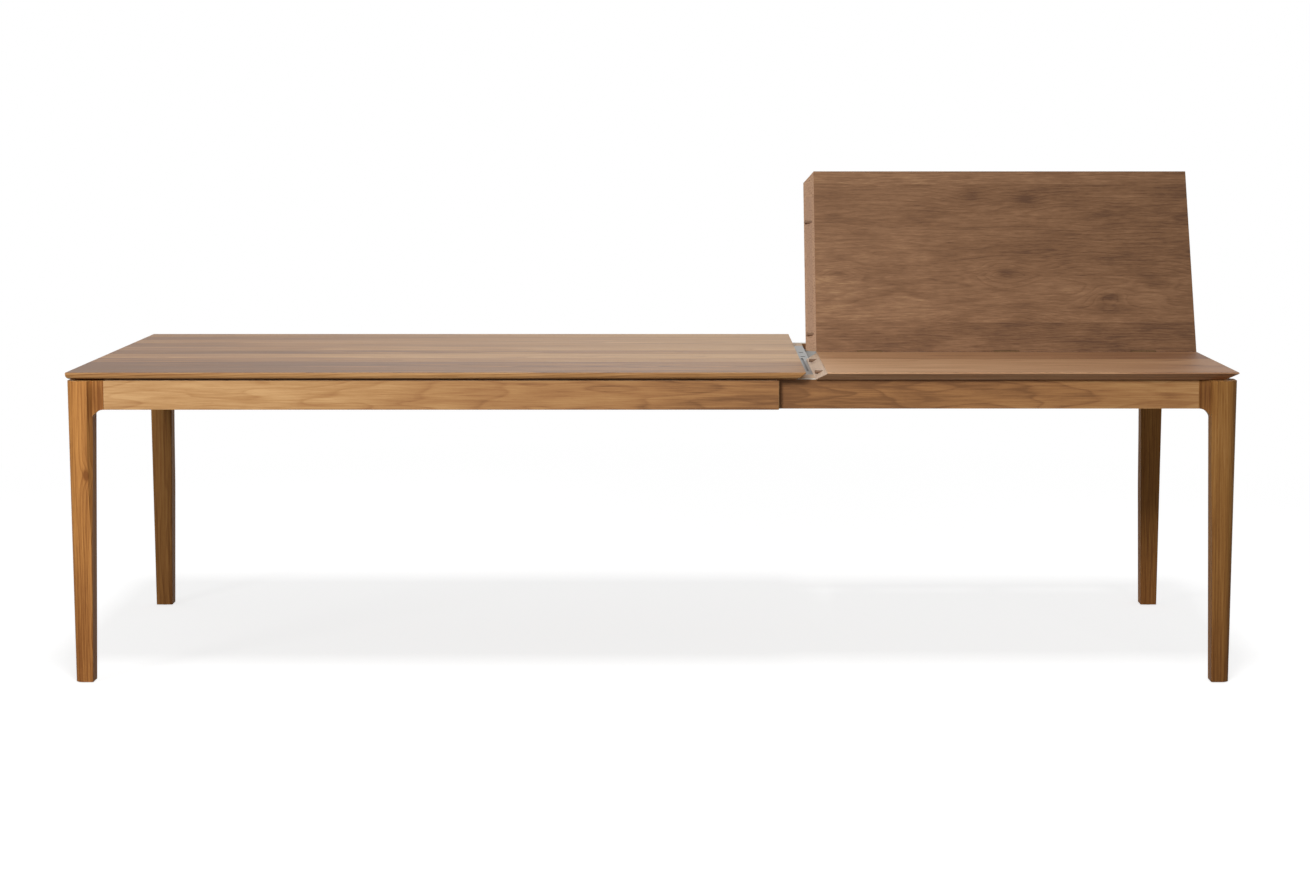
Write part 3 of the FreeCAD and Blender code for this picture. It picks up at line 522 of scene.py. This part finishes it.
def oiled_teak(name, tones, board_mm, centre=(0, 0, 0), turn=(0, 0, 0), seed=1.0, ring_mm=7.0,
               late_wood=plain_rings, figure=0.45, board_contrast=0.3, drift=(0.0, 0.0),
               painted_edge_light=None, knots=(), streak_mm=(240, 6, 6), line_mm=(90, 1.8, 1.8),
               cloud_mm=(520, 60, 60), roughness=0.52, specular=0.25, grain=(1, 0, 0), ends=None):
    """Teak boards with the grain along local X, whose axes centre and turn lay into the piece.
    tones are four colours from dark to pale, and ends are two for the end grain. figure is how
    dark the rings are and board_contrast how far boards differ. drift is how much paler the board
    gets in each metre, and where along it that starts from; it paints light falling off along the
    board, on top of the boards' own change of tone. painted_edge_light is how much paler the faces
    turned to the front and back are, a painted highlight for the light on the long edges. Each knot
    is (along, across, size in mm, how far it lifts the rings in mm, how much darker it is)."""
    material, tree, output = blank(name)
    coords = add(tree, "TexCoord").outputs
    local = add(tree, "Mapping", {"Vector": coords["Object"], "Location": centre,
                                  "Rotation": turn}, vector_type="TEXTURE").outputs[0]
    chance, inside, place = glued_boards(tree, local, board_mm, seed)
    bent = local
    # Knots bend by up to 10 mm each way, so that they aren't plain ovals.
    if knots:
        wriggle = fibres(tree, local, (220, 40, 40), 1.0, seed + 6).outputs["Color"]
        bent = add(tree, "VectorMath", (wriggle, (0.02, 0.02, 0.02), local), operation="MULTIPLY_ADD")
        bent = add(tree, "VectorMath", (bent, (0.01, 0.01, 0.01)), operation="SUBTRACT")
    ring = growth_rings(tree, bent, chance, inside, place, knots, ring_mm, seed, late_wood)
    streak = fibres(tree, place, streak_mm, 3.0, seed + 3)
    line = fibres(tree, place, line_mm, 2.0, seed + 4)
    cloud = fibres(tree, place, cloud_mm, 2.0, seed + 5)
    pores = fibres(tree, place, (16, 1.0, 1.0), 2.0, seed + 8)
    dent = add(tree, "MapRange", {"Value": pores, "From Min": 0.56, "From Max": 0.72})

    # The tone is a weighted sum: dense late wood, dents and knots darken it. The level takes the
    # middling values away again, 0.22 for the rings and 0.5 for each of the rest, and adds 0.5.
    streak_share = 0.8
    cloud_share = 0.8
    line_share = 0.7
    dent_share = -0.16
    luck = add(tree, "SeparateXYZ", (chance,)).outputs[2]
    bands = add(tree, "CombineXYZ", (ring, streak, cloud))
    bands = add(tree, "VectorMath", (bands, (-figure, streak_share, cloud_share)),
                operation="DOT_PRODUCT")
    marks = add(tree, "CombineXYZ", (luck, dent, line))
    marks = add(tree, "VectorMath", (marks, (board_contrast, dent_share, line_share)),
                operation="DOT_PRODUCT")
    tone = add(tree, "Math", (bands.outputs["Value"], marks.outputs["Value"]), operation="ADD")
    level = (0.5 - 0.5 * (streak_share + cloud_share + line_share + board_contrast)
             + 0.22 * figure)
    # The drift along the board is painted light falloff, on top of the boards' own change of tone.
    along = add(tree, "SeparateXYZ", (local,)).outputs[0]
    change = add(tree, "Math", (along, drift[0], level - drift[0] * drift[1]),
                 operation="MULTIPLY_ADD")
    # Faces turned to the front or back are made paler: a painted highlight for the light on the long
    # edges.
    if painted_edge_light is not None:
        sideways = add(tree, "SeparateXYZ", (coords["Normal"],)).outputs[1]
        sideways = add(tree, "Math", (sideways,), operation="ABSOLUTE")
        share = add(tree, "MapRange", {"Value": sideways, "From Min": 0.3, "From Max": 0.8})
        change = add(tree, "Mix", {0: share, 2: change, 3: level + painted_edge_light})
    tone = add(tree, "Math", (tone, change), operation="ADD")
    # Each knot darkens round its middle; one that lifts no rings, as at each leg's ear, is painted
    # shade.
    for knot in knots:
        knot_and_shade_patch = knot_hill(tree, bent, knot, 2.2)
        tone = add(tree, "Math", (knot_and_shade_patch, -knot[4], tone), operation="MULTIPLY_ADD")
    colour = add(tree, "ValToRGB", {"Fac": tone}, stops=zip((0.0, 1.0, 0.34, 0.66),
                 (tones[0], tones[3], tones[1], tones[2])))
    end_dark, end_pale = ends or (tones[1], tones[3])
    colour = end_grain(tree, coords, local, grain, colour, end_pale, end_dark)

    height = add(tree, "Math", (dent, -1.0), operation="MULTIPLY")
    bump = add(tree, "Bump", {"Height": height, "Strength": 0.4, "Distance": 0.0002})
    rough = add(tree, "MapRange", {"Value": streak, "From Min": 0.2, "From Max": 0.8,
                                   "To Min": roughness - 0.06, "To Max": roughness + 0.06})
    wood = add(tree, "BsdfPrincipled", {"Base Color": colour, "Roughness": rough, "IOR": 1.5,
                                        "Specular IOR Level": specular, "Normal": bump})
    tree.links.new(wood.outputs[0], output.inputs["Surface"])
    return material


print("teak is ready to be cut")

# %% [markdown]
# ### The timbers of this table
# The top, the leaf and the frame come from different packs of wood, so each has its own set of
# tones. The grain runs along the top and the long rails, across the table in the end rails, and
# up the legs. A Mapping node turns the pattern to suit, so the wood is always cut along itself.
# A knot that isn't dark is only a wave in the rings, and one that doesn't lift them is only a
# dark patch. At the ear of each leg that patch is painted shade, for the hollow into the rail.

# %% Timbers
top_tones = ("#6f4a28", "#996b3e", "#b18453", "#c89d6a")
leaf_tones = ("#835a3e", "#ad7f5b", "#c2956e", "#d6ab84")
flap_tones = ("#5b3e2a", "#77553a", "#8b674a", "#a7825e")
rail_tones = ("#7a5230", "#9f7044", "#b18453", "#c89d6b")
leg_tones = ("#7b4c25", "#a06b38", "#b98145", "#cf9a5c")
up_z = (math.radians(-90), math.radians(-90), 0)
face_on = (math.radians(90), 0, 0)

# The drifts here paint light as well as tone: the top grows paler to the right and the leaf and flap
# to the left, for the brighter light near the middle; the outer rails are paler to the left, where
# the key is near; the inner rails are darker next to the outer rails' ends, for the shade cast there;
# and the legs grow paler towards the top.
top_teak = oiled_teak("oiled_teak_top", top_tones, 96, centre=(0, 0, 0.755), seed=2.0,
                      drift=(0.3, -0.3), painted_edge_light=0.42, board_contrast=0.75, figure=0.6,
                      streak_mm=(420, 9, 9), roughness=0.46, specular=0.2)
leaf_teak = oiled_teak("oiled_teak_leaf", leaf_tones, 118, centre=(0, 0, 0.755), seed=5.0,
                       drift=(-0.62, 0.9), board_contrast=0.5, streak_mm=(420, 9, 9),
                       ends=("#7f6350", "#d2b79c"))
flap_knots = ((0.934, 0.215, 20, 26, 0.4), (1.205, 0.150, 17, 24, 0.55), (1.32, 0.21, 46, 20, 0.2),
              (0.84, 0.43, 26, 16, 0.2), (1.0, 0.417, 16, 12, 0.3), (0.818, 0.083, 26, 24, 0.1),
              (0.96, 0.091, 30, 30, 0.12), (0.49, 0.215, 14, 18, 0.25), (1.12, 0.235, 24, 16, 0.1))
flap_teak = oiled_teak("oiled_teak_flap", flap_tones, 128, centre=tuple(fold),
                       turn=(raised, 0, 0), seed=8.944, knots=flap_knots, late_wood=soft_rings,
                       board_contrast=0.42, drift=(-0.2, 0.9), streak_mm=(70, 6, 6),
                       line_mm=(24, 2.2, 2.2), cloud_mm=(170, 60, 60), roughness=0.58,
                       specular=0.18, ends=("#7d5f48", "#b49278"))
outer_waves = ((-1.25, 0.004, 60, 10, 0.0), (-0.3, 0.012, 90, 8, 0.0))
outer_rail_teak = oiled_teak("oiled_teak_outer_rails", rail_tones, 400, centre=(0, 0, 0.7),
                             turn=face_on, seed=3.078, knots=outer_waves, figure=0.36,
                             streak_mm=(150, 7, 7), drift=(-0.36, -0.8))
inner_waves = ((1.15, 0.004, 70, 12, 0.0), (0.62, -0.008, 60, 8, 0.05))
inner_rail_teak = oiled_teak("oiled_teak_inner_rails", rail_tones, 400, centre=(0, 0, 0.7),
                             turn=face_on, seed=3.625, knots=inner_waves, figure=0.36,
                             streak_mm=(150, 7, 7), drift=(0.45, 1.6))
end_rail_teak = oiled_teak("oiled_teak_end_rails", rail_tones, 400, centre=(0, 0, 0.7),
                           turn=(math.radians(90), 0, math.radians(90)), seed=4.03,
                           figure=0.36, streak_mm=(150, 7, 7), grain=(0, 1, 0))
strip_teak = oiled_teak("oiled_teak_strip", ("#7d6150", "#957660", "#a6866e", "#b8977e"), 400,
                        turn=(raised, 0, 0), seed=6.0, ends=("#7f624c", "#a3826a"))
# Each leg's tones are scaled by its share, which is painted light and shade: the front left leg
# lighter for the key that falls on it, the front right leg darker for lying further from the key, and
# the back legs darker for the shade under the top.
leg_shade_shares = {"front_left": 1.14, "front_right": 0.65, "back_left": 0.66, "back_right": 0.9}
leg_knots = {"front_left": [(0.165, 0.016, 8, 10, 0.8)]}
leg_teaks = {}
for number, (leg, share) in enumerate(leg_shade_shares.items()):
    low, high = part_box("leg_" + leg)
    outer_end, inward = (low.x, 1) if leg.endswith("left") else (high.x, -1)
    middle = (outer_end + inward * 0.032, (low.y + high.y) / 2, 0.35)
    # The ear's dark patch is painted shade, for the hollow between the leg's face and the rail.
    ear = (0.35, inward * 0.052, 42, 0, 0.5)
    leg_teaks[leg] = oiled_teak("oiled_teak_leg_" + leg, [toned(c, share) for c in leg_tones], 400,
                                centre=middle, turn=up_z, seed=11.0 + number * 7 / boards_per_seed,
                                knots=(*leg_knots.get(leg, ()), ear), grain=(0, 0, 1), figure=0.4,
                                drift=(0.5, 0.1), roughness=0.6, specular=0.1)
print(7 + len(leg_teaks), "timbers")

# %% [markdown]
# ## The hidden wood and the metal
# Under the top, the rails, battens and slats are sanded beech, a pale even wood with tiny flecks.
# The runners are drawn aluminium, and the flat rail that carries the end of the leaf is painted a
# darker grey, for the shade it lies in under the leaf's lip.
# The hinges are brass, painted a dark brown for the shade in the fold, and the fixings are
# zinc-plated steel. All of these keep the shapes they were given, and only their finish is made here.

# %% Beech, plastics and metals
def sanded_beech(name, dark, pale, turn=(0, 0, 0)):
    """Beech: even pink-brown, with short darker flecks about 2 mm long."""
    material, tree, output = blank(name)
    coords = add(tree, "TexCoord").outputs["Object"]
    local = add(tree, "Mapping", {"Vector": coords, "Rotation": turn}, vector_type="TEXTURE")
    cloud = fibres(tree, local, (300, 14, 14), 3.0, 1.0)
    fleck = fibres(tree, local, (6, 0.8, 0.8), 1.0, 4.0)
    mixed = add(tree, "Math", (fleck, 0.5, cloud), operation="MULTIPLY_ADD")
    colour = add(tree, "ValToRGB", {"Fac": mixed}, stops=((0.45, dark), (1.0, pale)))
    wood = add(tree, "BsdfPrincipled", {"Base Color": colour, "Roughness": 0.6, "IOR": 1.5})
    tree.links.new(wood.outputs[0], output.inputs["Surface"])
    return material


def stained_packer():
    """The packer under the leaf, stained brown, so that the gap reads as a soft shadow."""
    material, tree, output = blank("stained_packer")
    coords = add(tree, "TexCoord").outputs["Object"]
    cloud = fibres(tree, coords, (120, 6, 6), 3.0, 2.0)
    colour = add(tree, "ValToRGB", {"Fac": cloud}, stops=((0.3, "#4a3120"), (0.75, "#6e4c30")))
    wood = add(tree, "BsdfPrincipled", {"Base Color": colour, "Roughness": 0.75, "IOR": 1.5})
    tree.links.new(wood.outputs[0], output.inputs["Surface"])
    return material


def moulded_nylon(name, dark, pale):
    """Moulded nylon: an even satin, with a faint grain from the mould of about 0.4 mm."""
    material, tree, output = blank(name)
    coords = add(tree, "TexCoord").outputs["Object"]
    grain = add(tree, "TexNoise", {"Vector": coords, "Scale": 2500.0, "Detail": 2.0})
    colour = add(tree, "ValToRGB", {"Fac": grain}, stops=((0.3, dark), (0.7, pale)))
    bump = add(tree, "Bump", {"Height": grain, "Strength": 0.2, "Distance": 0.0001})
    plastic = add(tree, "BsdfPrincipled", {"Base Color": colour, "Roughness": 0.45, "IOR": 1.53,
                                           "Normal": bump})
    tree.links.new(plastic.outputs[0], output.inputs["Surface"])
    return material


def drawn_metal(name, dark, pale, rough, along_mm=60.0, across_mm=0.6):
    """Metal drawn or brushed along X: long scratches change its tone and its gloss a little."""
    material, tree, output = blank(name)
    coords = add(tree, "TexCoord").outputs["Object"]
    lines = fibres(tree, coords, (along_mm, across_mm, across_mm), 3.0, 2.0)
    colour = add(tree, "ValToRGB", {"Fac": lines}, stops=((0.3, dark), (0.7, pale)))
    gloss = add(tree, "MapRange", {"Value": lines, "To Min": rough - 0.08, "To Max": rough + 0.08})
    bump = add(tree, "Bump", {"Height": lines, "Strength": 0.15, "Distance": 0.0001})
    metal = add(tree, "BsdfPrincipled", {"Base Color": colour, "Roughness": gloss, "Metallic": 1.0,
                                         "Normal": bump})
    tree.links.new(metal.outputs[0], output.inputs["Surface"])
    return material


finishes = {
    "hidden_beech": sanded_beech("sanded_beech", "#ab845f", "#dec09c"),
    # The dowels' dark brown is painted shade, for the shadow that falls round the short pegs.
    "beech_dowel": sanded_beech("shade_dark_dowel_beech", "#5a4231", "#84644a"),
    "dark_packer": stained_packer(),
    "nylon": moulded_nylon("natural_nylon", "#d8d2c2", "#e9e4d6"),
    "felt_black": moulded_nylon("black_glide", "#141414", "#262626"),
    "aluminium": drawn_metal("anodised_aluminium", "#96938f", "#b7b4b0", 0.38),
    # The darker grey of the lip rail and the catch plate is painted shade, for the shade under the
    # leaf's lip.
    "grey_aluminium": drawn_metal("shade_grey_aluminium", "#6c6a67", "#858380", 0.45),
    # The hinges' dark brown is painted shade, for the fold they sit in.
    "brass": drawn_metal("shade_dark_brass", "#54402c", "#6a5138", 0.5),
    "steel": drawn_metal("zinc_plated_steel", "#8e8f8f", "#b2b3b2", 0.34, 8.0, 2.0),
}
print(sorted(finishes))

# %% Finish every part
# The parts named here have a finish of their own, and all the others go by their slot.
own_finish = {
    "main_top": top_teak, "leaf_front": leaf_teak, "leaf_back": flap_teak,
    "leaf_back_strip": strip_teak, "top_packers": finishes["hidden_beech"],
    "lip_rail": finishes["grey_aluminium"], "catch_plate": finishes["grey_aluminium"],
    "outer_apron_front": outer_rail_teak, "outer_apron_back": outer_rail_teak,
    "inner_apron_front": inner_rail_teak, "inner_apron_back": inner_rail_teak,
    "end_apron_left": end_rail_teak, "end_apron_right": end_rail_teak,
}
for leg, teak in leg_teaks.items():
    own_finish["leg_" + leg] = teak
slot_of = {}
for part in frame["record"]["subparts"]:
    slot_of[part["node"]] = part["material_slot"]
for name, node in nodes.items():
    finish = own_finish.get(name) or finishes[slot_of[name]]
    for slot in node.material_slots:
        slot.material = finish
new_pieces = [main_top, leaf_front, leaf_back, *rails.values(), *legs.values()]
for piece in new_pieces:
    piece.data.materials.clear()
    piece.data.materials.append(own_finish[piece["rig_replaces"][0]])
print("finished", len(nodes), "parts and", len(new_pieces), "shaped pieces")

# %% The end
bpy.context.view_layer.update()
